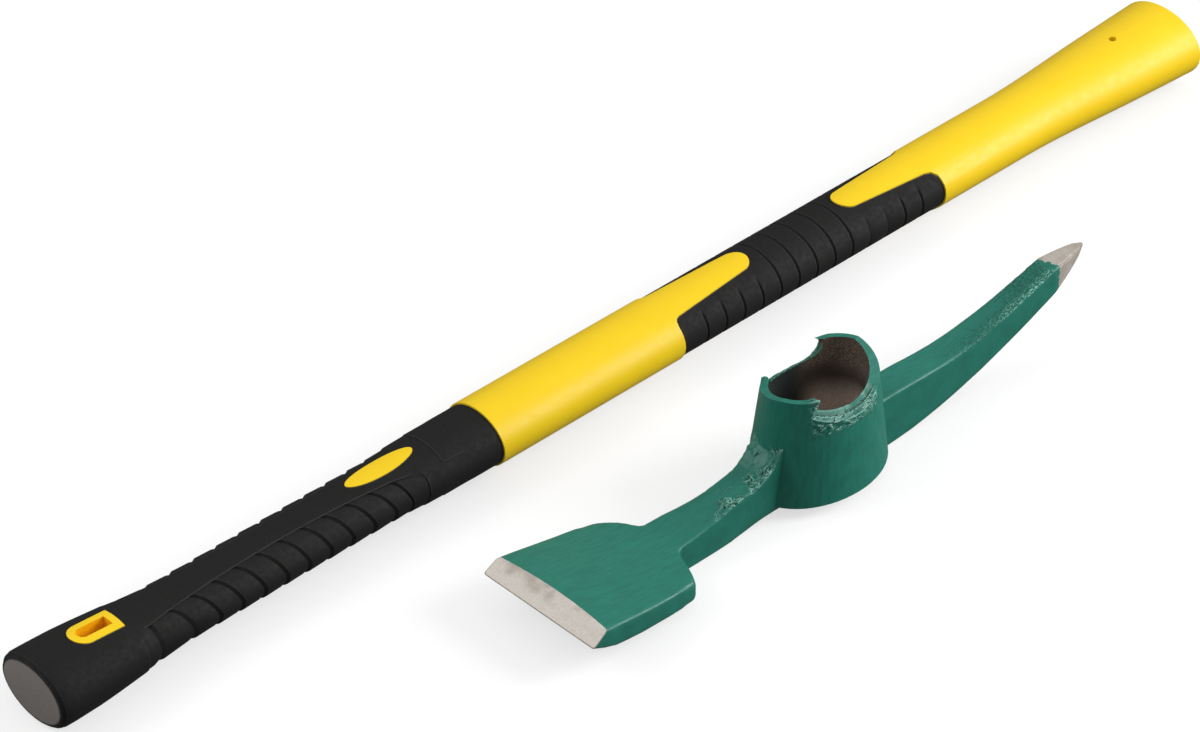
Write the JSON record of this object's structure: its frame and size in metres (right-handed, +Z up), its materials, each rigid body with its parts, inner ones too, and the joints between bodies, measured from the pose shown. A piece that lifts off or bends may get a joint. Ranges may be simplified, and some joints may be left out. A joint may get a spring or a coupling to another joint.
{
  "type": "mattock",
  "caption": "Mattock taken apart: forged head with oval eye, broad adze blade and curved pick, beside a moulded handle with ribbed grips, flared end and hang loop.",
  "frame": {"origin": "middle of the set's footprint, on the floor", "axes": "+X along the handle from the butt to the flare, +Y from the head to the handle, +Z up"},
  "size_m": [0.9, 0.2132, 0.075],
  "materials": {
    "painted_steel": "gloss enamel, ground bare at the edge and the point",
    "fibreglass": "resin-bonded rod, cut end",
    "yellow_plastic": "moulded satin",
    "black_rubber": "moulded matt"
  },
  "bodies": {
    "handle": {"handle_core": "fibreglass", "handle_jacket": "yellow_plastic", "lower_grip": "black_rubber", "upper_grip": "black_rubber"},
    "head": {"head": "painted_steel"}
  },
  "joints": [
    {"name": "head_lift", "type": "slide", "parent": "handle", "child": "head", "axis": [0, 0, 1], "range_m": [0, 0.25]}
  ]
}
